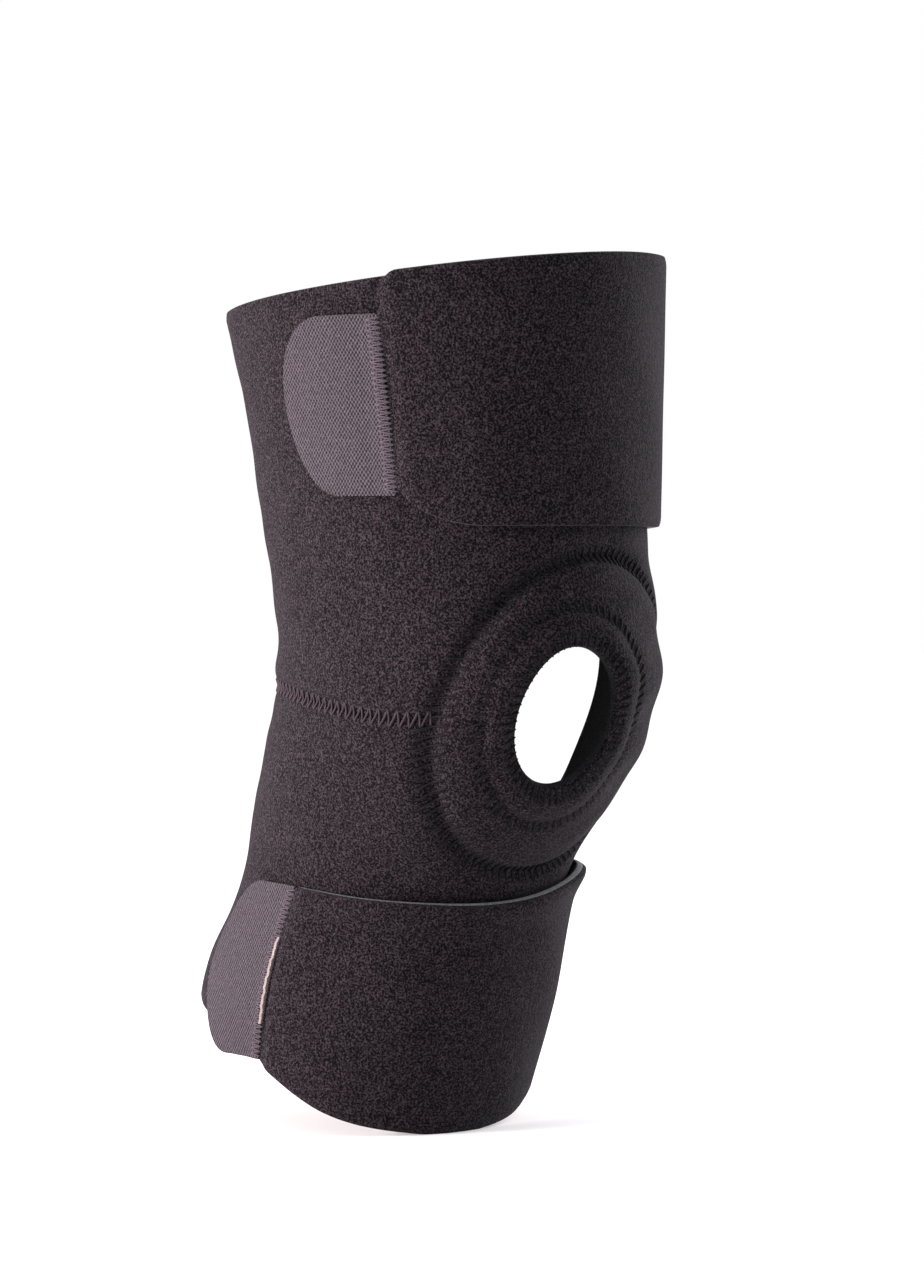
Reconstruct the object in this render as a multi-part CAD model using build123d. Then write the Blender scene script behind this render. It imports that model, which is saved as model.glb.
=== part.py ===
from build123d import *
import math
import os

# Wraparound open-patella knee brace for a right leg, in millimetres.
# Frame: origin at the knee's bending axis, +Z up the thigh, -Y the front of the knee,
# -X the lateral (outer) side. Angles go round the leg in degrees: 0 is the front,
# +90 the lateral side, 180 the back and -90 the medial side.

# ---- the leg the brace is shaped to ---------------------------------------------------
# height, centre x, centre y, half width in x, half depth in y
LEG_STATIONS = [
    (-160, -15.6, 51.5, 47.0, 50.0),
    (-105, -12.0, 41.0, 53.5, 56.5),
    (-60, -8.0, 26.0, 51.5, 54.5),
    (-25, -3.0, 8.0, 58.0, 63.0),
    (10, 0.0, -5.0, 60.0, 65.0),
    (50, -3.0, -2.0, 60.0, 64.0),
    (100, -6.0, 0.0, 64.0, 68.0),
    (160, -9.5, 5.0, 71.0, 76.0),
]

# ---- laminate: jersey lining, neoprene foam core, plush loop face -----------------------
LINING = 0.6
FOAM = 3.2
LOOP = 0.6
GLUE = 0.05
SHEET = LINING + FOAM + LOOP + 2 * GLUE
LAYERS = {
    "lining": (0.0, LINING),
    "foam": (LINING + GLUE, LINING + GLUE + FOAM),
    "loop": (SHEET - LOOP, SHEET),
}

# ---- gaps -------------------------------------------------------------------------------
SLIP = 0.3  # between layers that slide on each other
SEAM_GAP = 0.3  # between two cut edges that are sewn together
ZONE_GAP = 0.7  # between a cuff and the cloth that stretches beside it
FOLD_GAP = 0.3  # half the gap at a fold line, in degrees round the leg

# ---- where the wrap starts and ends -------------------------------------------------------
FREE_EDGE = -100.0  # medial edge of the body, under the flaps
WING_END = 215.0  # back-medial line where the body turns into the two flaps
FLAP_ROOT = WING_END - 360.0
FLAP_FOLD = -60.0  # where each flap folds when it is opened
RAMP = (-140.0, -104.0)  # the flaps climb from body level to on top of the body here

THIGH_FLAP_END = 45.5
CALF_FLAP_END = 67.5

# ---- knee zone --------------------------------------------------------------------------
# The cuffs stop at planes through the bending axis; the stretchy cloth lies between.
BACK_RELIEF = math.tan(math.radians(33.0))
FRONT_RELIEF = math.tan(math.radians(14.0))
APEX_RELIEF = 3.0
APEX_ROUND = 6.0
SEAM_RISE = 4.0  # the side seams climb this far above the axis at the back, and below it in front

# ---- patella insert (ellipses: half width and half height) ---------------------------------
INSERT_Z = -4.0
INSERT_TURN = -12.0  # the insert faces this way round the leg
INSERT = (48.0, 53.0)
WINDOW_X = 3.0
BUTTRESS = (28.5, 33.5)
WINDOW = (19.0, 23.0)
BUTTRESS_RISE = 1.2
SEAM_BAND = 0.45  # thickness of a stitched band of thread
THREAD_CLEAR = 0.35  # the bands lie over two panels, so they stand just clear of both
SEAM_HALF = 3.5  # half the width of the zigzag seams

# ---- hook tabs ----------------------------------------------------------------------------
HOOKS = 0.8
BACKING = 0.7
TAB_SEWN = 3.5  # degrees of tab that stay sewn to the flap
TAB_LIFT = SHEET + GLUE - HOOKS - BACKING  # the sewn end is flush with the flap's face
TAB_SETTLE = 7.0  # degrees over which the tab comes down to the body
THIGH_TAB = {"end": THIGH_FLAP_END, "z": 98.5, "half": 29.5, "length": 33.0}
CALF_TAB = {"end": CALF_FLAP_END, "z": -92.5, "half": 30.0, "length": 35.0}


def spline(stations, x, column=1):
    """Smooth curve through the stations' given column, straight on past both ends."""
    xs = [row[0] for row in stations]
    ys = [row[column] for row in stations]
    last = len(xs) - 1
    slopes = []
    for i in range(last + 1):
        low = max(i - 1, 0)
        high = min(i + 1, last)
        slopes.append((ys[high] - ys[low]) / (xs[high] - xs[low]))
    if x <= xs[0]:
        return ys[0] + slopes[0] * (x - xs[0])
    if x >= xs[last]:
        return ys[last] + slopes[last] * (x - xs[last])
    i = max(k for k in range(last) if xs[k] <= x)
    width = xs[i + 1] - xs[i]
    u = (x - xs[i]) / width
    blend = u * u * (3 - 2 * u)
    start = ys[i] * (1 - blend) + ys[i + 1] * blend
    return start + width * u * (1 - u) * ((1 - u) * slopes[i] - u * slopes[i + 1])


def smoothstep(low, high, x):
    u = min(max((x - low) / (high - low), 0.0), 1.0)
    return u * u * (3 - 2 * u)


def skin_point(angle, z):
    """Point on the leg form."""
    turn = math.radians(angle)
    centre_x, centre_y, half_x, half_y = (spline(LEG_STATIONS, z, k) for k in (1, 2, 3, 4))
    return Vector(centre_x - half_x * math.sin(turn), centre_y - half_y * math.cos(turn), z)


def leg_point(angle, z, offset):
    """Point at a distance off the leg form, along its outward normal."""
    round_leg = skin_point(angle + 0.5, z) - skin_point(angle - 0.5, z)
    up_leg = skin_point(angle, z + 0.5) - skin_point(angle, z - 0.5)
    normal = up_leg.cross(round_leg).normalized()
    return skin_point(angle, z) + normal * offset


def sheet_solid(place, low, high, rows, columns):
    """Solid between two offsets over the patch that place(s, t) -> angle, z, lift gives."""

    def face(offset):
        grid = []
        for i in range(rows + 1):
            line = []
            for j in range(columns + 1):
                angle, z, lift = place(i / rows, j / columns)
                line.append(leg_point(angle, z, lift + offset))
            grid.append(line)
        return Face.make_surface_from_array_of_points(grid, tol=1e-2, min_deg=3, max_deg=3)

    inner = face(low)
    outer = face(high)
    sides = []
    for edge in inner.edges():
        middle = edge.position_at(0.5)
        partner = min(outer.edges(), key=lambda e: (e.position_at(0.5) - middle).length)
        sides.append(Face.make_surface_from_curves(edge, partner))
    solid = Solid(Shell([inner, outer] + sides))
    if solid.volume < 0:
        solid = Solid(solid.wrapped.Reversed())
    return solid


def elliptic_bar(radii, x, turn):
    """Elliptical bar out of the front of the knee, to cut the insert's pieces with."""
    side = math.radians(turn)
    along = Vector(-math.sin(side), -math.cos(side), 0)
    across = Vector(math.cos(side), -math.sin(side), 0)
    profile = Plane(origin=Vector(x, 0, INSERT_Z) + along * 12, x_dir=across, z_dir=along)
    return extrude(profile * Ellipse(radii[0], radii[1]), 80)


def insert_bar(grow=0.0):
    return elliptic_bar(grown(INSERT, grow), 0.0, INSERT_TURN)


def window_bar(radii):
    return elliptic_bar(radii, WINDOW_X, 0.0)


def grown(radii, by):
    return (radii[0] + by, radii[1] + by)


# ---- edge lines -----------------------------------------------------------------------------


def thigh_rim(angle):
    return 143.0 + 8.0 * math.cos(math.radians(angle + 60.0))


def calf_rim(angle):
    return -122.0 + 14.0 * math.cos(math.radians(angle - 145.0))


def cuff_edge(angle, up):
    """Height of the cuff's knee-side edge; up is +1 for the thigh and -1 for the calf."""
    z = 0.0
    for _ in range(12):
        y = skin_point(angle, z).Y
        relief = BACK_RELIEF if y > 0 else FRONT_RELIEF
        z = up * (APEX_RELIEF + relief * (math.hypot(y, APEX_ROUND) - APEX_ROUND))
    return z


def seam_height(angle):
    """Height of the side seam between the two panels."""
    return SEAM_RISE * (2 * smoothstep(45, 117, abs(angle)) - 1)


THIGH_FLAP_LOWER = [(-145, 57), (-100, 58), (-60, 59), (17, 59), (27, 59.5), (37.5, 63.5), (45.5, 71)]
CALF_FLAP_UPPER = [(-145, -60), (-100, -57), (-60, -56), (-40, -60), (-10, -65), (20, -65.5), (67.5, -63)]
CALF_FLAP_LOWER = [(-145, -118), (-100, -129), (-60, -138.5), (-20, -145.5), (10, -145.5), (40, -139), (67.5, -123)]


def thigh_flap_upper(angle):
    corner = max(angle - 39.5, 0.0)
    return thigh_rim(angle) - 7.5 * (corner / 6.0) ** 2


def flap_lift(angle):
    return (SHEET + SLIP) * smoothstep(RAMP[0], RAMP[1], angle)


# ---- panels -----------------------------------------------------------------------------------


def between(start, end, lower, upper, lift=lambda angle: 0.0):
    """Patch from one angle to another, between two edge lines."""

    def place(s, t):
        angle = start + (end - start) * s
        low = lower(angle)
        return angle, low + (upper(angle) - low) * t, lift(angle)

    return place


def laminate(name, place, rows, columns, cutter=None):
    """The three layers of one sheet."""
    pieces = {}
    for layer, (low, high) in LAYERS.items():
        piece = sheet_solid(place, low, high, rows, columns)
        if cutter is not None:
            piece = piece - cutter
        pieces[f"{name}_{layer}"] = piece
    return pieces


def cuffs():
    hole = insert_bar(SEAM_GAP)
    thigh = between(FREE_EDGE, WING_END, lambda a: cuff_edge(a, 1), lambda a: thigh_rim(a) - 1.5)
    calf = between(FREE_EDGE, WING_END, calf_rim, lambda a: cuff_edge(a, -1))
    pieces = laminate("thigh_panel", thigh, 54, 10, hole)
    pieces.update(laminate("calf_panel", calf, 54, 10, hole))
    return pieces


def knee_zone():
    """The parts of both panels that stretch and fold as the knee bends."""
    half = SEAM_GAP / 2
    hole = insert_bar(SEAM_GAP)
    sides = {"lateral": (28.0, WING_END), "medial": (FREE_EDGE, -50.0)}
    pieces = {}
    for side, (start, end) in sides.items():
        rows = max(12, round((end - start) / 6))
        thigh = between(
            start, end, lambda a: seam_height(a) + half, lambda a: cuff_edge(a, 1) - ZONE_GAP
        )
        calf = between(
            start, end, lambda a: cuff_edge(a, -1) + ZONE_GAP, lambda a: seam_height(a) - half
        )
        pieces.update(laminate(f"thigh_knee_zone_{side}", thigh, rows, 4, hole))
        pieces.update(laminate(f"calf_knee_zone_{side}", calf, rows, 4, hole))
    return pieces


def front_sheet(low, high):
    """Blank that covers the whole front of the knee, for the insert's pieces."""
    place = between(-78, 54, lambda a: INSERT_Z - 60, lambda a: INSERT_Z + 60)
    return sheet_solid(place, low, high, 22, 20)


def insert_ring(low, high, inner, outer):
    return front_sheet(low, high) & outer - inner


def patella_insert():
    pieces = {}
    hole = window_bar(grown(BUTTRESS, SEAM_GAP))
    for layer, (low, high) in LAYERS.items():
        pieces[f"patella_panel_{layer}"] = insert_ring(low, high, hole, insert_bar())
    top = SHEET + BUTTRESS_RISE
    rim = {
        "patella_rim_lining": (0.0, LINING),
        "patella_buttress": (LINING + GLUE, top - LOOP - GLUE),
        "patella_rim_cover": (top - LOOP, top),
    }
    for name, (low, high) in rim.items():
        pieces[name] = insert_ring(low, high, window_bar(WINDOW), window_bar(BUTTRESS))
    return pieces


def seam_threads():
    low = SHEET + THREAD_CLEAR
    high = low + SEAM_BAND
    pieces = {}
    spans = {"lateral": (38.0, WING_END - 1), "medial": (FREE_EDGE + 1, -56.0)}
    hole = insert_bar(4.0)
    for side, (start, end) in spans.items():
        band = between(
            start, end, lambda a: seam_height(a) - SEAM_HALF, lambda a: seam_height(a) + SEAM_HALF
        )
        rows = max(8, round((end - start) / 6))
        pieces[f"knee_seam_thread_{side}"] = sheet_solid(band, low, high, rows, 3) - hole
    bands = {
        "insert_seam_thread": (low, insert_bar(-SEAM_HALF), insert_bar(SEAM_HALF)),
        "ring_seam_thread": (low, window_bar(grown(BUTTRESS, 0.5)), window_bar(grown(BUTTRESS, 4.5))),
        "window_edge_thread": (low + BUTTRESS_RISE, window_bar(WINDOW), window_bar(grown(WINDOW, 5.0))),
    }
    for name, (base, inner, outer) in bands.items():
        pieces[name] = insert_ring(base, base + SEAM_BAND, inner, outer)
    return pieces


def flap(name, end, lower, upper):
    root = between(FLAP_ROOT + 2 * FOLD_GAP, FLAP_FOLD - FOLD_GAP, lower, upper, flap_lift)
    front = between(FLAP_FOLD + FOLD_GAP, end, lower, upper, flap_lift)
    pieces = laminate(f"{name}_root", root, 20, 8)
    pieces.update(laminate(name, front, 26, 8))
    return pieces


def flaps():
    pieces = flap(
        "thigh_flap", THIGH_FLAP_END, lambda a: spline(THIGH_FLAP_LOWER, a), thigh_flap_upper
    )
    pieces.update(
        flap(
            "calf_flap",
            CALF_FLAP_END,
            lambda a: spline(CALF_FLAP_LOWER, a),
            lambda a: spline(CALF_FLAP_UPPER, a),
        )
    )
    return pieces


def tab(name, shape):
    """Hook tab: the strip sewn to the flap's end, and the free D-shaped length with its hooks."""
    start = shape["end"] + 0.3
    sewn = start + TAB_SEWN
    free = sewn + FOLD_GAP

    def lift(angle):
        return SHEET + SLIP + TAB_LIFT * (1 - smoothstep(start, start + TAB_SETTLE, angle))

    def sewn_place(s, t):
        angle = start + TAB_SEWN * s
        return angle, shape["z"] + shape["half"] * (2 * t - 1), lift(angle)

    def free_place(s, t):
        swing = (t - 0.5) * math.pi
        length = shape["length"] - (free - shape["end"])
        angle = free + s * length * (0.5 + 0.5 * math.cos(swing))
        return angle, shape["z"] + shape["half"] * math.sin(swing), lift(angle)

    def stitch_place(s, t):
        angle = shape["end"] - 1.5 + (TAB_SEWN + 1.5) * s
        return angle, shape["z"] + (shape["half"] - 0.5) * (2 * t - 1), SHEET + SLIP

    face = HOOKS + GLUE
    return {
        f"{name}_sewn_end": sheet_solid(sewn_place, GLUE, face + BACKING, 3, 8),
        f"{name}_hooks": sheet_solid(free_place, 0.0, HOOKS, 10, 12),
        f"{name}_backing": sheet_solid(free_place, face, face + BACKING, 10, 12),
        f"{name}_stitching": sheet_solid(
            stitch_place, SHEET + 3 * GLUE, SHEET + 3 * GLUE + SEAM_BAND, 3, 8
        ),
    }


def raw_tape_edge():
    """The tab's raw tape edge that stands up out of the calf tab's seam."""
    low = SHEET + SLIP + SHEET + SEAM_BAND + 4 * GLUE
    place = between(CALF_FLAP_END - 0.6, CALF_FLAP_END + 0.6, lambda a: -110.0, lambda a: -81.0)
    return {"calf_tab_tape_edge": sheet_solid(place, low, low + 1.6, 3, 6)}


def main():
    pieces = {}
    pieces.update(cuffs())
    pieces.update(knee_zone())
    pieces.update(patella_insert())
    pieces.update(seam_threads())
    pieces.update(flaps())
    pieces.update(tab("thigh_tab", THIGH_TAB))
    pieces.update(tab("calf_tab", CALF_TAB))
    pieces.update(raw_tape_edge())
    os.makedirs("parts", exist_ok=True)
    for name, piece in pieces.items():
        export_step(piece, f"parts/{name}.step")


main()
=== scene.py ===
import math

import bmesh
import bpy
import numpy as np
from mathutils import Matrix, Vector

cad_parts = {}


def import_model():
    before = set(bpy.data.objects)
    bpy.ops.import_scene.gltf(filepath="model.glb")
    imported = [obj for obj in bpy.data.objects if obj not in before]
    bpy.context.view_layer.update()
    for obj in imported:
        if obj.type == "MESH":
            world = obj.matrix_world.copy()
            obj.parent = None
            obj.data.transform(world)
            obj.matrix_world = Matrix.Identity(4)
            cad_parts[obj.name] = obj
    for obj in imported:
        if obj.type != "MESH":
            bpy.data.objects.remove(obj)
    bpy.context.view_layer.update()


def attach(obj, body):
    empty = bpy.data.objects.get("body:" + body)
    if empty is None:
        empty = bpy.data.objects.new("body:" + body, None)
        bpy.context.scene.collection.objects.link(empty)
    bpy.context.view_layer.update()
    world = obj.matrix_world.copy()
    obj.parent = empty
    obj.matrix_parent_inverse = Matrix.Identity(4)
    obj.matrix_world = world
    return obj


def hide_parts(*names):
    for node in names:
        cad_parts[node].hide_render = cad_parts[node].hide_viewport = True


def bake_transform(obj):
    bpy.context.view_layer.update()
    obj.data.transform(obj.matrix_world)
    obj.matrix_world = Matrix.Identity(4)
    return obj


# Wraparound knee brace. Lengths here are in millimetres and become metres in make_mesh().
# Angles go round the leg in degrees: 0 front, +90 lateral (-X), 180 back, -90 medial.
MM = 0.001

# ---- leg form, as in the CAD part: height, centre x, centre y, half width, half depth ------------
LEG_STATIONS = np.array(
    [
        (-160, -15.6, 51.5, 47.0, 50.0),
        (-105, -12.0, 41.0, 53.5, 56.5),
        (-60, -8.0, 26.0, 51.5, 54.5),
        (-25, -3.0, 8.0, 58.0, 63.0),
        (10, 0.0, -5.0, 60.0, 65.0),
        (50, -3.0, -2.0, 60.0, 64.0),
        (100, -6.0, 0.0, 64.0, 68.0),
        (160, -9.5, 5.0, 71.0, 76.0),
    ]
)

SHEET = 4.5  # laminate thickness
SLIP = 0.3  # gap between the body and a flap over it
FREE_EDGE = -100.0  # the body's edge under the flaps
WING_END = 215.0  # the body's other end, where the flaps grow out of it
FLAP_ROOT = -145.0
FLAP_MEET = -95.0  # the flap's two meshes meet here
RAMP = (-140.0, -104.0)  # a flap climbs on top of the body between these angles

# ellipses on the front: centre to the side, half width, half height, the angle each faces
INSERT_Z = -4.0
INSERT = (0.0, 48.0, 53.0, -12.0)
BUTTRESS = (3.0, 28.5, 33.5, 0.0)
WINDOW = (3.0, 19.0, 23.0, 0.0)

SEAM_RISE = 4.0  # the side seams climb towards the back
TOP_STEP = 1.5  # the body's top edge ends this far below the thigh flap's

# relief of the body's outer face
FLARE = 3.2  # the calf panel's lower back corner stands this far off
SEAM_GROOVE = 0.9
SEAM_SWELL = 0.4
INSERT_VALLEY = 2.5  # along the insert's seam
INSERT_SWELL = (0.6, 0.4)  # inside and outside that seam
BUTTRESS_RISE = 1.0
BUTTRESS_GROOVE = 0.35
WINDOW_ROUND = 1.6  # the face rolls down to the window's edge
EDGE_ROUND = (0.7, 0.6)  # rounding of the cut edges: the body's, the flaps'
EDGE_WIDTH = 1.3

# height, share of the knee's bend that cloth at that height follows
BEND_SHARE = np.array(
    [(-60, 1.0), (-52, 0.93), (-40, 0.68), (-4, 0.5), (32, 0.32), (46, 0.07), (57, 0.0)]
)

THIGH_FLAP_LOWER = np.array(
    [(-145, 57), (-100, 58), (-60, 59), (17, 59), (27, 59.5), (37.5, 63.5), (45.5, 71)], float
)
CALF_FLAP_UPPER = np.array(
    [(-145, -60), (-100, -57), (-60, -56), (-40, -60), (-10, -65), (20, -65.5), (67.5, -63)], float
)
CALF_FLAP_LOWER = np.array(
    [
        (-145, -118),
        (-100, -129),
        (-60, -138.5),
        (-20, -145.5),
        (10, -145.5),
        (40, -139),
        (67.5, -123),
    ]
)
THIGH_CORNER = 39.5  # the thigh flap's top corner is rounded from here to its end
CORNER_DROP = 7.5
FLAP_THIN = 2.0  # the flap's end is pressed thinner where the tab is sewn on
THIN_SPAN = 5.0  # degrees over which it thins
FLAP_WAVE = (0.25, 0.18)  # light waves of a flap's face

TAB_THICK = 1.55
TAB_SETTLE = 7.0  # degrees over which the tab comes down to the body
TAB_CURL = 0.5  # the tab's free end curls up by this
THIGH_TAB = {"end": 45.5, "z": 98.5, "half": 29.5, "length": 33.0}
CALF_TAB = {"end": 67.5, "z": -92.5, "half": 30.0, "length": 35.0}

THREAD = 0.42  # radius of the seam thread
TAB_THREAD = 0.3  # radius of the tabs' thread
THREAD_SIDES = 6
STITCH_STEPS = 7  # points along one stitch
STITCH_ARCH = 0.28
STITCH_DIP = 0.5  # both ends of a stitch go down into the cloth
SIDE_PITCH = 1.5  # degrees between the side seams' stitches
SIDE_HALF = 2.9
TAB_PITCH = 1.7
TAB_STITCH = (1.1, -3.6)  # degrees before and past the flap's end that a tab stitch reaches

# grid sizes
PANEL_COLUMNS = 290
INSERT_GRID = (280, 40)
FLAP_ROWS = 64
TAB_GRID = (46, 60)

# rows through the thickness of a cut edge: how deep each lies, and the material between them
WALL_DEPTHS = (0.13, 0.4, 0.65, 0.88)
WALL_SLOTS = (0, 0, 1, 1, 2)

# ---- stage, in metres and degrees ----------------------------------------------------------------
FLOOR_SIDE = 6.0
FLOOR_LEVEL = -0.1485
CAMERA_TURN = -29.0
CAMERA_RAISE = 1.0
CAMERA_LENS = 100
CAMERA_DISTANCE = 1.23
CAMERA_AIM = (0, 0, 0.02)


# ---- small maths ---------------------------------------------------------------------------------


def spline(stations, x, column=1):
    """Smooth curve through the stations' given column, straight on past both ends."""
    xs = stations[:, 0]
    ys = stations[:, column]
    high = np.minimum(np.arange(len(xs)) + 1, len(xs) - 1)
    low = np.maximum(np.arange(len(xs)) - 1, 0)
    slopes = (ys[high] - ys[low]) / (xs[high] - xs[low])
    x = np.asarray(x, float)
    inside = np.clip(x, xs[0], xs[-1])
    i = np.clip(np.searchsorted(xs, inside, side="right") - 1, 0, len(xs) - 2)
    width = xs[i + 1] - xs[i]
    u = (inside - xs[i]) / width
    blend = u * u * (3 - 2 * u)
    y = ys[i] * (1 - blend) + ys[i + 1] * blend
    y = y + width * u * (1 - u) * ((1 - u) * slopes[i] - u * slopes[i + 1])
    return y + np.minimum(x - xs[0], 0) * slopes[0] + np.maximum(x - xs[-1], 0) * slopes[-1]


def smoothstep(low, high, x):
    u = np.clip((x - low) / (high - low), 0, 1)
    return u * u * (3 - 2 * u)


def bump(x, width):
    return np.exp(-((x / width) ** 2))


def unit(v):
    return v / np.maximum(np.linalg.norm(v, axis=-1, keepdims=True), 1e-9)


def skin(angle, z):
    turn = np.radians(angle)
    x = spline(LEG_STATIONS, z, 1) - spline(LEG_STATIONS, z, 3) * np.sin(turn)
    y = spline(LEG_STATIONS, z, 2) - spline(LEG_STATIONS, z, 4) * np.cos(turn)
    return np.stack([x, y, z + 0 * x], axis=-1)


def normal(angle, z):
    round_leg = skin(angle + 0.5, z) - skin(angle - 0.5, z)
    up_leg = skin(angle, z + 0.5) - skin(angle, z - 0.5)
    return unit(np.cross(up_leg, round_leg))


def leg(angle, z, offset):
    """Points at a distance off the leg form."""
    angle, z = np.broadcast_arrays(np.asarray(angle, float), np.asarray(z, float))
    offset = np.broadcast_to(offset, angle.shape)
    return skin(angle, z) + normal(angle, z) * offset[..., None]


def thigh_rim(angle):
    return 143.0 + 8.0 * np.cos(np.radians(angle + 60.0))


def calf_rim(angle):
    return -122.0 + 14.0 * np.cos(np.radians(angle - 145.0))


def seam_height(angle):
    return SEAM_RISE * (2 * smoothstep(45, 117, np.abs(angle)) - 1)


def flare(angle, z):
    """How far the body's lower back corner stands off the calf."""
    round_leg = smoothstep(78, 122, angle) * smoothstep(175, 150, angle)
    return FLARE * round_leg * smoothstep(-60, -104, z)


def bend_share(z):
    return np.clip(spline(BEND_SHARE, np.clip(z, -60, 57)), 0, 1)


# ---- meshes --------------------------------------------------------------------------------------


def make_mesh(name, vertices, faces, indices, materials, sharp=None):
    mesh = bpy.data.meshes.new(name)
    mesh.from_pydata((vertices * MM).tolist(), [], faces)
    for material in materials:
        mesh.materials.append(material)
    mesh.polygons.foreach_set("material_index", np.asarray(indices, np.int32))
    mesh.polygons.foreach_set("use_smooth", np.ones(len(mesh.polygons), bool))
    if sharp is not None:
        ends = np.zeros(len(mesh.edges) * 2, np.int32)
        mesh.edges.foreach_get("vertices", ends)
        both = sharp[ends].reshape(-1, 2).all(axis=1)
        mesh.attributes.new("sharp_edge", "BOOLEAN", "EDGE").data.foreach_set("value", both)
    mesh.update()
    obj = bpy.data.objects.new(name, mesh)
    bpy.context.scene.collection.objects.link(obj)
    return obj


def grid_quads(rows, columns, closed, keep):
    """Faces of a grid; closed joins the last row to the first, keep picks the faces to have."""
    number = np.arange(rows * columns).reshape(rows, columns)
    if closed:
        number = np.vstack([number, number[:1]])
    quads = np.stack(
        [number[:-1, :-1], number[:-1, 1:], number[1:, 1:], number[1:, :-1]], axis=-1
    )
    if keep is not None:
        quads = quads[keep]
    return quads.reshape(-1, 4)


def rim_edges(quads):
    """Edges that only one face has."""
    edges = np.concatenate([quads[:, [k, (k + 1) % 4]] for k in range(4)])
    key = np.sort(edges, axis=1)
    _, back, count = np.unique(key, axis=0, return_inverse=True, return_counts=True)
    return edges[count[back.ravel()] == 1]


def rim_outward(outer, inner, rim):
    """Directions out of the sheet's cut edge, one for each grid point."""
    outward = np.zeros((len(outer), 3))
    along = outer[rim[:, 1]] - outer[rim[:, 0]]
    for end in (0, 1):
        through = unit(outer[rim[:, end]] - inner[rim[:, end]])
        np.add.at(outward, rim[:, end], unit(np.cross(along, through)))
    return unit(outward)


def sheet_mesh(name, outer, inner, materials, keep=None, closed=False, bulge=0.35):
    """Closed sheet from an outer and an inner grid. materials are its face, cut edge and lining."""
    quads = grid_quads(*outer.shape[:2], closed, keep)
    outer = outer.reshape(-1, 3)
    inner = inner.reshape(-1, 3)
    rim = rim_edges(quads)
    used = np.unique(rim)
    outward = rim_outward(outer, inner, rim)[used]
    total = len(outer)
    walls = [
        outer[used] * (1 - k) + inner[used] * k + outward * bulge * math.sin(math.pi * k)
        for k in WALL_DEPTHS
    ]
    faces = quads.tolist() + (quads[:, ::-1] + total).tolist()
    indices = [0] * len(quads) + [2] * len(quads)
    place = {int(v): i for i, v in enumerate(used)}
    local = np.vectorize(place.get)(rim)
    rings = [rim] + [local + 2 * total + i * len(used) for i in range(len(walls))] + [rim + total]
    for top, low, slot in zip(rings, rings[1:], WALL_SLOTS):
        faces += np.stack([top[:, 1], top[:, 0], low[:, 0], low[:, 1]], axis=-1).tolist()
        indices += [slot] * len(rim)
    vertices = np.concatenate([outer, inner] + walls)
    sharp = np.zeros(len(vertices), bool)
    sharp[used] = True
    sharp[used + total] = True
    obj = make_mesh(name, vertices, faces, indices, materials, sharp)
    drop_loose(obj)
    return obj


def drop_loose(obj):
    """Removes grid points that no face uses."""
    mesh = obj.data
    count = len(mesh.vertices)
    used = np.zeros(count, bool)
    loops = np.zeros(len(mesh.loops), np.int32)
    mesh.loops.foreach_get("vertex_index", loops)
    used[loops] = True
    if used.all():
        return
    work = bmesh.new()
    work.from_mesh(mesh)
    bmesh.ops.delete(work, geom=[v for v in work.verts if not v.link_faces], context="VERTS")
    work.to_mesh(mesh)
    work.free()


def tube_ring(path, up, radius):
    """Circles of points round a path, smaller at both ends. up is the surface's normal."""
    turn = np.linspace(0, 2 * math.pi, THREAD_SIDES, endpoint=False)
    along = unit(np.gradient(path, axis=0))
    side = unit(np.cross(along, up))
    over = unit(np.cross(side, along))
    size = np.full(len(path), radius)
    size[0] = size[-1] = radius * 0.45
    return (
        path[:, None]
        + size[:, None, None] * np.cos(turn)[None, :, None] * side[:, None]
        + size[:, None, None] * np.sin(turn)[None, :, None] * over[:, None]
    )


def tube_mesh(name, paths, ups, radius, material):
    """Threads: one tube along each path, with rounded ends."""
    vertices = []
    faces = []
    total = 0
    sides = THREAD_SIDES
    for path, up in zip(paths, ups):
        vertices.append(tube_ring(path, up, radius).reshape(-1, 3))
        last = total + (len(path) - 1) * sides
        for a in range(total, last, sides):
            for k in range(sides):
                n = (k + 1) % sides
                faces.append((a + k, a + n, a + sides + n, a + sides + k))
        faces.append(tuple(total + k for k in reversed(range(sides))))
        faces.append(tuple(last + k for k in range(sides)))
        total = last + sides
    return make_mesh(name, np.concatenate(vertices), faces, [0] * len(faces), [material])


def coordinates(obj):
    found = np.zeros(len(obj.data.vertices) * 3)
    obj.data.vertices.foreach_get("co", found)
    return found.reshape(-1, 3) / MM


def bend_with_knee(obj):
    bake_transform(obj)
    bend_share(coordinates(obj)[:, 2])


def bend_round(obj):
    """Bakes the object's transform into its mesh and reads its points back in millimetres."""
    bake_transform(obj)
    at = coordinates(obj)


# ---- materials -----------------------------------------------------------------------------------


def shader(name):
    material = bpy.data.materials.new(name)
    material.use_nodes = True
    tree = material.node_tree
    tree.nodes.clear()
    out = tree.nodes.new("ShaderNodeOutputMaterial")
    surface = tree.nodes.new("ShaderNodeBsdfPrincipled")
    tree.links.new(surface.outputs[0], out.inputs[0])
    place = tree.nodes.new("ShaderNodeTexCoord")
    return material, tree, surface, place.outputs["Object"]


def noise(tree, place, scale, detail):
    node = tree.nodes.new("ShaderNodeTexNoise")
    node.inputs["Scale"].default_value = scale
    node.inputs["Detail"].default_value = detail
    tree.links.new(place, node.inputs["Vector"])
    return node.outputs["Fac"]


def calc(tree, operation, *values):
    """Arithmetic on node outputs and plain numbers."""
    node = tree.nodes.new("ShaderNodeMath")
    node.operation = operation
    for socket, value in zip(node.inputs, values):
        if isinstance(value, float):
            socket.default_value = value
        else:
            tree.links.new(value, socket)
    return node.outputs[0]


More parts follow.
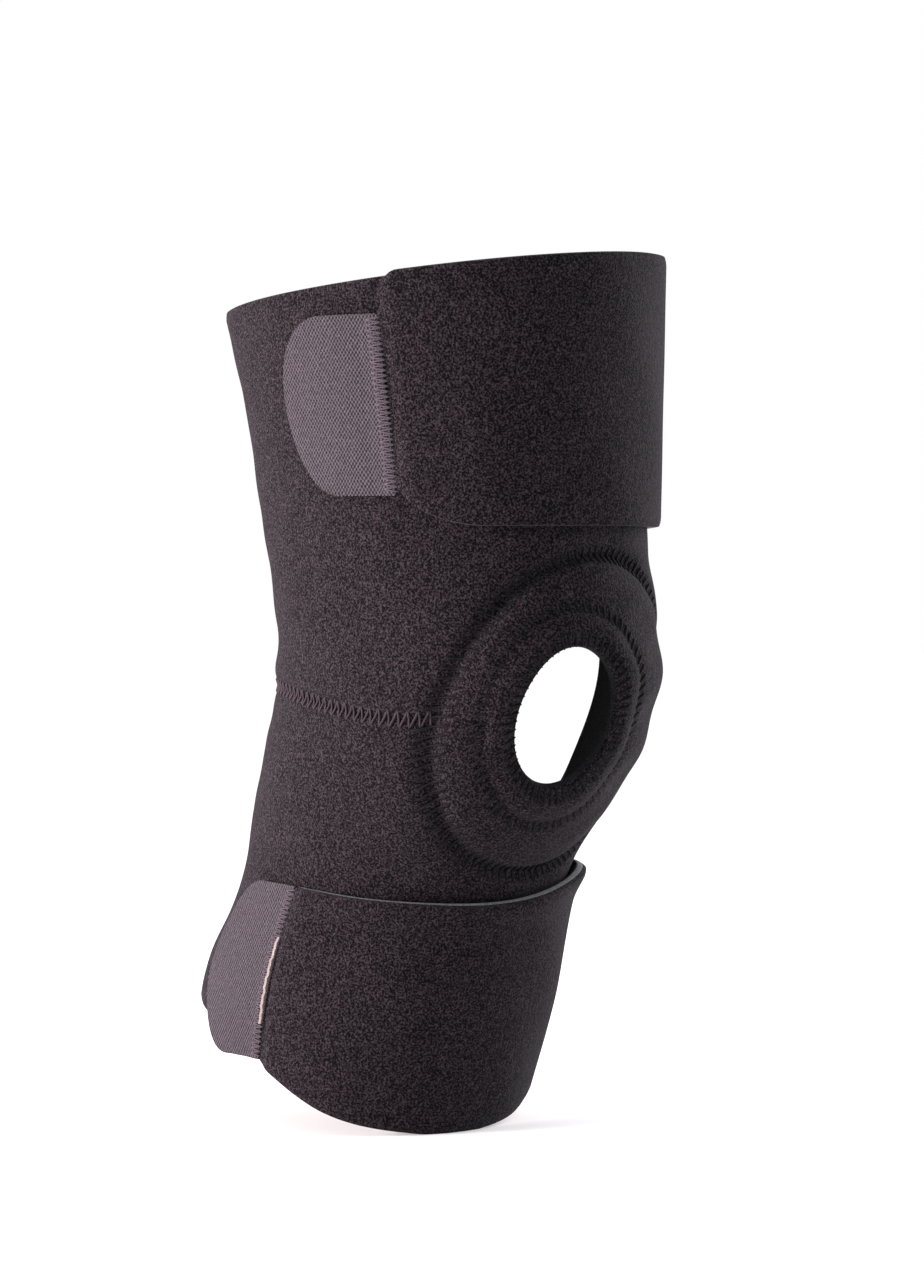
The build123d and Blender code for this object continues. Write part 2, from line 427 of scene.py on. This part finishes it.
def ramp(tree, value, low, high, dark, light):
    """Colour from dark to light as the value goes from low to high."""
    node = tree.nodes.new("ShaderNodeValToRGB")
    node.color_ramp.elements[0].position = low
    node.color_ramp.elements[1].position = high
    node.color_ramp.elements[0].color = (*dark, 1)
    node.color_ramp.elements[1].color = (*light, 1)
    tree.links.new(value, node.inputs[0])
    return node.outputs[0]


def bumps(tree, surface, heights):
    """Chains bump nodes: (height output, strength, distance in metres)."""
    last = None
    for height, strength, distance in heights:
        node = tree.nodes.new("ShaderNodeBump")
        node.inputs["Strength"].default_value = strength
        node.inputs["Distance"].default_value = distance
        tree.links.new(height, node.inputs["Height"])
        if last is not None:
            tree.links.new(last, node.inputs["Normal"])
        last = node.outputs[0]
    tree.links.new(last, surface.inputs["Normal"])


def plush():
    """Brushed loops, which stand in clumps."""
    material, tree, surface, place = shader("plush loop face")
    grain = noise(tree, place, 1500, 3)
    clumps = noise(tree, place, 420, 2)
    share = 0.12  # of the clumps in the colour
    mixed = calc(tree, "MULTIPLY_ADD", clumps, share, calc(tree, "MULTIPLY", grain, 1 - share))
    colour = ramp(tree, mixed, 0.44, 0.68, (0.0010, 0.0007, 0.0010), (0.034, 0.0262, 0.0325))
    tree.links.new(colour, surface.inputs["Base Color"])
    surface.inputs["Roughness"].default_value = 0.9
    surface.inputs["Specular IOR Level"].default_value = 0.06
    surface.inputs["Sheen Weight"].default_value = 0.05
    surface.inputs["Sheen Roughness"].default_value = 0.4
    surface.inputs["Sheen Tint"].default_value = (0.8, 0.75, 0.9, 1)
    bumps(tree, surface, [(clumps, 0.4, 0.0012), (grain, 0.8, 0.0007)])
    return material


def foam():
    material, tree, surface, place = shader("cut foam edge")
    pores = noise(tree, place, 1500, 2)
    colour = ramp(tree, pores, 0.35, 0.65, (0.05, 0.054, 0.056), (0.16, 0.17, 0.175))
    tree.links.new(colour, surface.inputs["Base Color"])
    surface.inputs["Roughness"].default_value = 0.8
    bumps(tree, surface, [(pores, 0.5, 0.0003)])
    return material


def jersey():
    material, tree, surface, place = shader("jersey lining")
    knit = noise(tree, place, 1400, 1)
    colour = ramp(tree, knit, 0.35, 0.7, (0.003, 0.003, 0.004), (0.012, 0.012, 0.014))
    tree.links.new(colour, surface.inputs["Base Color"])
    surface.inputs["Roughness"].default_value = 0.8
    surface.inputs["Specular IOR Level"].default_value = 0.12
    bumps(tree, surface, [(knit, 0.4, 0.0003)])
    return material


def plain(name, colour, roughness):
    """Fibres of one colour."""
    material, tree, surface, place = shader(name)
    fibre = noise(tree, place, 1800, 2)
    dark = tuple(0.6 * c for c in colour)
    shade = ramp(tree, fibre, 0.3, 0.7, dark, colour)
    tree.links.new(shade, surface.inputs["Base Color"])
    surface.inputs["Roughness"].default_value = roughness
    surface.inputs["Specular IOR Level"].default_value = 0.15
    bumps(tree, surface, [(fibre, 0.4, 0.0002)])
    return material


def weave():
    """Tape with offset rows of lighter points, close on a millimetre apart."""
    material, tree, surface, place = shader("tab weave")
    row_pitch = 0.0019
    point_pitch = 0.0013
    split = tree.nodes.new("ShaderNodeSeparateXYZ")
    tree.links.new(place, split.inputs[0])
    back = calc(tree, "MULTIPLY", split.outputs["Y"], 0.89)
    side = calc(tree, "MULTIPLY", split.outputs["X"], 0.45)
    waver = calc(tree, "MULTIPLY", noise(tree, place, 120, 1), 0.0012)
    along = calc(tree, "ADD", calc(tree, "SUBTRACT", back, side), waver)
    row_turn = calc(tree, "MULTIPLY", split.outputs["Z"], 2 * math.pi / row_pitch)
    rows = calc(tree, "COSINE", row_turn)
    points = calc(tree, "COSINE", calc(tree, "MULTIPLY", along, 2 * math.pi / point_pitch))
    lattice = calc(tree, "MULTIPLY", rows, points)
    fibre = noise(tree, place, 1500, 2)
    raised = calc(tree, "MULTIPLY_ADD", lattice, 0.42, fibre)
    colour = ramp(tree, raised, 0.22, 0.82, (0.0025, 0.0021, 0.0028), (0.054, 0.045, 0.056))
    tree.links.new(colour, surface.inputs["Base Color"])
    surface.inputs["Roughness"].default_value = 0.6
    surface.inputs["Specular IOR Level"].default_value = 0.1
    bumps(tree, surface, [(raised, 0.7, 0.0004)])
    return material


# ---- relief of the sleeve ------------------------------------------------------------------------


def across(angle, z, ellipse):
    """Distance to the side of an ellipse's middle line, seen the way the ellipse faces."""
    at = skin(angle, z)
    side = math.radians(ellipse[3])
    return at[..., 0] * math.cos(side) - at[..., 1] * math.sin(side) - ellipse[0]


def ellipse_gap(angle, z, ellipse):
    """Distance outside an ellipse on the front of the knee; large away from the front."""
    ratio = np.hypot(across(angle, z, ellipse) / ellipse[1], (z - INSERT_Z) / ellipse[2])
    gap = (ratio - 1) * 0.5 * (ellipse[1] + ellipse[2])
    return np.where(np.cos(np.radians(angle - ellipse[3])) > 0, gap, 200.0)


def front_angle(side_step, z, ellipse):
    """Angle round the leg of the front point that lies side_step across from the middle line."""
    flattest = 0.15  # least slope that a step is worked out from
    longest = 15.0  # degrees
    angle = np.full(np.broadcast(side_step, z).shape, ellipse[3]) - side_step
    for _ in range(12):
        here = across(angle, z, ellipse)
        slope = across(angle + 0.5, z, ellipse) - across(angle - 0.5, z, ellipse)
        step = (side_step - here) / np.where(np.abs(slope) < flattest, -flattest, slope)
        angle = angle + np.clip(step, -longest, longest)
    return angle


def side_seam_relief(angle, z, insert):
    """A groove along the side seams with a soft swell on both sides, away from the insert."""
    seam = z - seam_height(angle)
    groove = SEAM_GROOVE * bump(seam, 2.2) * smoothstep(0, 3, insert)
    swell = SEAM_SWELL * bump(np.abs(seam) - 6.5, 4.5) * smoothstep(2, 9, insert)
    return swell - groove


def waves(angle, z):
    """Light waves all round, and cross folds behind the knee."""
    turn = np.radians(angle)
    height = 0.30 * np.sin(3 * turn + 0.06 * z) * np.sin(0.045 * z + 1.3)
    height += 0.22 * np.sin(7 * turn - 0.11 * z + 0.6)
    height += 0.10 * np.sin(17 * turn + 0.31 * z)
    back = smoothstep(95, 140, np.abs(angle - 45) + 45)
    folds = 0.8 * back * np.sin(0.26 * z + 0.8 * np.sin(2.2 * turn)) * bump(z, 38)
    return height + folds


def sleeve_relief(angle, z):
    """How far the sleeve's outer face stands off its plain thickness."""
    insert = ellipse_gap(angle, z, INSERT)
    ring = ellipse_gap(angle, z, BUTTRESS)
    window = ellipse_gap(angle, z, WINDOW)
    height = flare(angle, z) + side_seam_relief(angle, z, insert)
    height -= INSERT_VALLEY * bump(insert, 2.3)
    height += INSERT_SWELL[0] * bump(insert + 9, 5) + INSERT_SWELL[1] * bump(insert - 8, 5)
    height += BUTTRESS_RISE * smoothstep(1.0, -4.0, ring)
    height -= BUTTRESS_GROOVE * bump(ring - 1.2, 1.7)
    height -= WINDOW_ROUND * smoothstep(4.5, 0, window)
    height += waves(angle, z)
    for rim in (thigh_rim(angle) - TOP_STEP - z, z - calf_rim(angle)):
        height -= EDGE_ROUND[0] * bump(np.maximum(rim, 0), EDGE_WIDTH)
    return height


def sleeve_face(angle, z, above=0.0):
    return leg(angle, z, SHEET + sleeve_relief(angle, z) + above)


def snapped(angle, z, ellipse, reach):
    """Moves grid points that lie within reach, a share of the ellipse's size, onto it."""
    side_step = across(angle, z, ellipse)
    ratio = np.hypot(side_step / ellipse[1], (z - INSERT_Z) / ellipse[2])
    near = (np.abs(ratio - 1) < reach) & (np.cos(np.radians(angle - ellipse[3])) > 0.1)
    factor = np.where(near, 1 / np.maximum(ratio, 0.1), 1.0)
    new_z = np.where(near, INSERT_Z + (z - INSERT_Z) * factor, z)
    new_angle = front_angle(np.where(near, side_step * factor, 0.0), new_z, ellipse)
    return np.where(near, new_angle, angle), new_z


# ---- pieces --------------------------------------------------------------------------------------


def panel(name, lower, upper, rows, materials, nodes):
    """One body panel, from the free edge round to the wing, with the insert's hole cut out."""
    turns = np.linspace(FREE_EDGE, WING_END, PANEL_COLUMNS)
    share = np.linspace(0, 1, rows)
    angle = np.repeat(turns[:, None], rows, axis=1)
    z = lower(angle) + (upper(angle) - lower(angle)) * share
    angle, z = snapped(angle, z, INSERT, 0.02)
    outer = sleeve_face(angle, z)
    inner = leg(angle, z, 0)
    middle_angle = (angle[:-1, :-1] + angle[1:, :-1] + angle[:-1, 1:] + angle[1:, 1:]) / 4
    middle_z = (z[:-1, :-1] + z[1:, :-1] + z[:-1, 1:] + z[1:, 1:]) / 4
    keep = ellipse_gap(middle_angle, middle_z, INSERT) > 0
    obj = sheet_mesh(name, outer, inner, materials, keep=keep)
    bend_with_knee(obj)
    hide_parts(*nodes)
    return obj


def layers(*names):
    return [f"{name}_{layer}" for name in names for layer in ("lining", "foam", "loop")]


def body_panels(materials):
    thigh = panel(
        "thigh_panel", seam_height, lambda a: thigh_rim(a) - TOP_STEP, 105, materials,
        layers("thigh_panel", "thigh_knee_zone_lateral", "thigh_knee_zone_medial"),
    )
    calf = panel(
        "calf_panel", calf_rim, seam_height, 90, materials,
        layers("calf_panel", "calf_knee_zone_lateral", "calf_knee_zone_medial"),
    )


def rim_point(turn, ellipse, grow=0.0):
    """Angle and height of the point of an ellipse, grown by a width, at that turn."""
    z = INSERT_Z + (ellipse[2] + grow) * np.sin(turn)
    return front_angle((ellipse[1] + grow) * np.cos(turn), z, ellipse), z


def patella_insert(materials):
    """The round insert, from the window's edge out to its seam."""
    turn = np.linspace(0, 2 * math.pi, INSERT_GRID[0], endpoint=False)[:, None]
    share = np.linspace(0, 1, INSERT_GRID[1])[None, :]
    inside = rim_point(turn, WINDOW)
    outside = rim_point(turn, INSERT)
    angle = inside[0] * (1 - share) + outside[0] * share
    z = inside[1] * (1 - share) + outside[1] * share
    outer = sleeve_face(angle, z)
    inner = leg(angle, z, 0.0)
    obj = sheet_mesh("patella_insert", outer, inner, materials, closed=True)
    bend_with_knee(obj)
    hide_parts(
        *layers("patella_panel"), "patella_rim_lining", "patella_rim_cover", "patella_buttress"
    )


def flap_lift(angle):
    return (SHEET + SLIP) * smoothstep(RAMP[0], RAMP[1], angle)


def thigh_flap_edges(angle):
    past = np.maximum(angle - THIGH_CORNER, 0.0) / (THIGH_TAB["end"] - THIGH_CORNER)
    return spline(THIGH_FLAP_LOWER, angle), thigh_rim(angle) - CORNER_DROP * past**2


def calf_flap_edges(angle):
    return spline(CALF_FLAP_LOWER, angle), spline(CALF_FLAP_UPPER, angle)


def flap_thinning(angle, end):
    return FLAP_THIN * smoothstep(end - THIN_SPAN, end, angle)


def flap_surface(angle, z, low, high, end, gape):
    """Outer and inner face of a flap, whose upper edge stands off by the gape."""
    turn = np.radians(angle)
    over = smoothstep(RAMP[1], RAMP[1] + 25, angle)
    wave = FLAP_WAVE[0] * np.sin(5 * turn + 0.07 * z) + FLAP_WAVE[1] * np.sin(11 * turn - 0.1 * z)
    stand = gape * over * smoothstep(14, 0, high - z) * smoothstep(end - 2, end - 25, angle)
    lift = flap_lift(angle) + np.maximum(stand, 0)
    outer = SHEET + lift + over * wave - flap_thinning(angle, end)
    for rim in (high - z, z - low):
        outer = outer - EDGE_ROUND[1] * bump(rim, EDGE_WIDTH) * over
    return leg(angle, z, outer), leg(angle, z, lift + 0.05)


def flap(name, end, edges, gape, materials):
    """A flap in its two lengths, the root and the front."""
    share = np.linspace(0, 1, FLAP_ROWS)[None, :]

    def piece(label, start, stop, columns):
        angle = np.repeat(np.linspace(start, stop, columns)[:, None], FLAP_ROWS, axis=1)
        low, high = edges(angle)
        z = low + (high - low) * share
        outer, inner = flap_surface(angle, z, low, high, end, gape)
        return sheet_mesh(label, outer, inner, materials)

    root = piece(f"{name}_root", FLAP_ROOT, FLAP_MEET, 44)
    bend_round(root)
    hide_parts(*layers(f"{name}_root"))
    front = piece(name, FLAP_MEET, end, 130)
    bend_round(front)
    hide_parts(*layers(name))


def tab_lift(angle, shape):
    """Height of the tab's underside: level with the flap's end, then down on the body."""
    start = shape["end"] + 0.2
    step = SHEET - FLAP_THIN - TAB_THICK + 0.1
    return SHEET + SLIP + step * (1 - smoothstep(start, start + TAB_SETTLE, angle))


def tab(name, shape, materials):
    """Woven hook tab with a D-shaped free end."""
    gap = 0.15  # degrees between the flap's end and the tab
    start = shape["end"] + gap
    along = np.linspace(0, 1, TAB_GRID[0])[:, None]
    swing = np.linspace(-0.5, 0.5, TAB_GRID[1])[None, :] * math.pi
    angle = start + along * (shape["length"] - gap) * (0.5 + 0.5 * np.cos(swing))
    z = shape["z"] + shape["half"] * np.sin(swing) + 0 * along
    curl = TAB_CURL * smoothstep(0.75, 1.0, along) * (0.6 + 0.4 * np.sin(3 * swing))
    low = tab_lift(angle, shape) + flare(angle, z)
    outer = leg(angle, z, low + TAB_THICK + curl)
    inner = leg(angle, z, low + curl)
    obj = sheet_mesh(name, outer, inner, materials, bulge=0.12)
    bend_round(obj)
    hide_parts(f"{name}_sewn_end", f"{name}_hooks", f"{name}_backing")


def tab_stitch_base(angle, shape):
    """Height of the faces that the tab's stitches lie on: the flap's end, then the tab."""
    end = shape["end"]
    on_flap = 2 * SHEET + SLIP - flap_thinning(angle, end)
    return np.where(angle < end, on_flap, tab_lift(angle, shape) + TAB_THICK)


def tab_stitches(name, shape, material):
    """Zigzag over the join of the tab and the flap's end."""
    count = int(2 * shape["half"] / TAB_PITCH)
    heights = shape["z"] + np.linspace(-1, 1, count) * (shape["half"] - 1.2)
    near, far = TAB_STITCH
    rise = 0.55 * TAB_PITCH
    s = np.linspace(0, 1, STITCH_STEPS)
    arch = 0.1 + 0.35 * np.sin(math.pi * s) ** 0.5
    dip = 0.35 * ((s == 0) | (s == 1))
    paths = []
    ups = []
    for height, following in zip(heights, heights[1:]):
        out = (height, height + rise, near, far)
        home = (height + rise, following, far, near)
        for low, high, first, last in (out, home):
            angle = shape["end"] - (first + (last - first) * s)
            z = low + (high - low) * s
            paths.append(leg(angle, z, tab_stitch_base(angle, shape) + arch - dip))
            ups.append(normal(angle, z))
    obj = tube_mesh(f"{name}_stitching", paths, ups, TAB_THREAD, material)
    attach(obj, name.replace("_tab", "_flap"))
    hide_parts(f"{name}_stitching")


def stitch(place, count, material, name, node):
    """Stitches over the sleeve: place(i, s) gives each one's angles and heights."""
    s = np.linspace(0, 1, STITCH_STEPS)
    arch = STITCH_ARCH * np.sin(math.pi * s) + 0.1
    dip = STITCH_DIP * ((s == 0) | (s == 1))
    paths = []
    ups = []
    for i in range(count):
        angle, z = place(i, s)
        paths.append(sleeve_face(angle, z, arch - dip))
        ups.append(normal(angle, z))
    obj = tube_mesh(name, paths, ups, THREAD, material)
    bend_with_knee(obj)
    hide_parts(node)


def ring_stitches(ellipse, inside, outside, pitch, slant, material, name, node):
    """Stitches across an ellipse, from inside to outside it, each leaning by slant."""
    count = int(math.pi * (ellipse[1] + ellipse[2]) / pitch)

    def place(i, s):
        turn = 2 * math.pi * (i + slant * s) / count
        return rim_point(turn, ellipse, inside + (outside - inside) * s)

    stitch(place, count, material, name, node)


def side_stitches(start, end, material, name):
    """Zigzag along a side seam between two angles."""
    count = int((end - start) / SIDE_PITCH)

    def place(i, s):
        up = 1 if i % 2 else -1
        angle = start + (i + s) * SIDE_PITCH
        return angle, seam_height(angle) + up * SIDE_HALF * (1 - 2 * s)

    stitch(place, count, material, name, name)


def seams(material, side_material):
    inset = 1.5  # degrees left bare at the body's ends
    side_stitches(39.5, WING_END - inset, side_material, "knee_seam_thread_lateral")
    side_stitches(FREE_EDGE + inset, -64, side_material, "knee_seam_thread_medial")
    ring_stitches(INSERT, -3.6, 3.6, 3.0, 0.6, material, "insert_seam", "insert_seam_thread")
    ring_stitches(BUTTRESS, -0.4, 3.4, 2.7, 0.5, material, "ring_seam", "ring_seam_thread")
    ring_stitches(WINDOW, -0.3, 4.6, 2.4, 0.5, material, "window_edge", "window_edge_thread")


def tape_edge(material):
    """The calf tab's raw tape edge, standing up out of its seam."""
    bottom, top = -110.0, -81.0
    middle = (bottom + top) / 2
    z = np.linspace(bottom, top, 30)[None, :]
    angle = CALF_TAB["end"] + np.linspace(-0.45, 0.45, 5)[:, None] + 0 * z
    z = z + 0 * angle
    low = 2 * SHEET + SLIP - 1.8
    ragged = 0.15 * np.sin(2.1 * z) + 0.1 * np.sin(5.3 * z + 1)
    ends = bump((z - middle) / (top - middle), 1) ** 0.4
    outer = leg(angle, z, low + (1.2 + 1.6 * ragged) * ends)
    inner = leg(angle, z, low - 0.3)
    obj = sheet_mesh("calf_tab_tape_edge_strip", outer, inner, [material] * 3, bulge=0.05)
    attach(obj, "calf_flap")
    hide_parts("calf_tab_tape_edge")


# ---- stage ---------------------------------------------------------------------------------------


def area_light(name, place, aim, size, power, colour):
    data = bpy.data.lights.new(name, "AREA")
    data.energy = power
    data.size = size
    data.color = colour
    lamp = bpy.data.objects.new(name, data)
    bpy.context.scene.collection.objects.link(lamp)
    lamp.location = place
    lamp.rotation_euler = (Vector(aim) - Vector(place)).to_track_quat("-Z", "Y").to_euler()


def pale_floor():
    mesh = bpy.data.meshes.new("floor")
    side = FLOOR_SIDE
    corners = ((-side, -side), (side, -side), (side, side), (-side, side))
    mesh.from_pydata([(x, y, FLOOR_LEVEL) for x, y in corners], [], [(0, 1, 2, 3)])
    material, _, surface, _ = shader("pale floor")
    surface.inputs["Base Color"].default_value = (0.88, 0.88, 0.88, 1)
    surface.inputs["Roughness"].default_value = 0.7
    surface.inputs["Emission Color"].default_value = (1, 1, 1, 1)
    surface.inputs["Emission Strength"].default_value = 0.14
    mesh.materials.append(material)
    floor = bpy.data.objects.new("floor", mesh)
    bpy.context.scene.collection.objects.link(floor)


def white_sky():
    world = bpy.data.worlds.new("sky")
    world.use_nodes = True
    background = world.node_tree.nodes["Background"]
    background.inputs["Color"].default_value = (1, 1, 1, 1)
    background.inputs["Strength"].default_value = 1.0
    bpy.context.scene.world = world


def add_camera():
    azimuth = math.radians(CAMERA_TURN)
    level = math.cos(math.radians(CAMERA_RAISE))
    height = math.sin(math.radians(CAMERA_RAISE))
    back = Vector((math.sin(azimuth) * level, -math.cos(azimuth) * level, height))
    data = bpy.data.cameras.new("camera")
    data.lens = CAMERA_LENS
    data.sensor_width = 36
    camera = bpy.data.objects.new("camera", data)
    bpy.context.scene.collection.objects.link(camera)
    camera.location = Vector(CAMERA_AIM) + back * CAMERA_DISTANCE
    camera.rotation_mode = "QUATERNION"
    camera.rotation_quaternion = (-back).to_track_quat("-Z", "Y")
    bpy.context.scene.camera = camera


def stage():
    """Pale floor and white sky, a hard light from behind on the left, and the camera."""
    pale_floor()
    white_sky()
    bpy.context.scene.view_settings.view_transform = "Standard"
    area_light("key", (-1.4, 0.3, 0.12), (0, 0, -0.05), 0.5, 68, (1.0, 0.86, 0.87))
    area_light("rim", (1.3, 0.3, 0.4), (0, 0, 0), 0.6, 13, (0.98, 0.92, 1.0))
    area_light("top", (-0.2, -0.3, 1.4), (0, 0, 0), 0.9, 6, (1, 1, 1))
    add_camera()


def main():
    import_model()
    sheet = [plush(), foam(), jersey()]
    insert_sheet = [sheet[0], sheet[2], sheet[2]]
    thread = plain("seam thread", (0.003, 0.0025, 0.003), 0.8)
    tab_thread = plain("tab thread", (0.060, 0.048, 0.060), 0.8)
    side_thread = plain("side seam thread", (0.030, 0.021, 0.027), 0.8)
    tape = weave()
    hooks = plain("hooks", (0.02, 0.02, 0.022), 0.4)
    raw_tape = plain("raw tape", (0.22, 0.18, 0.18), 0.8)
    body_panels(sheet)
    patella_insert(insert_sheet)
    seams(thread, side_thread)
    flap("thigh_flap", THIGH_TAB["end"], thigh_flap_edges, 0.0, sheet)
    flap("calf_flap", CALF_TAB["end"], calf_flap_edges, 1.6, sheet)
    tab("thigh_tab", THIGH_TAB, [tape, tape, hooks])
    tab("calf_tab", CALF_TAB, [tape, tape, hooks])
    tab_stitches("thigh_tab", THIGH_TAB, tab_thread)
    tab_stitches("calf_tab", CALF_TAB, tab_thread)
    tape_edge(raw_tape)
    stage()


main()
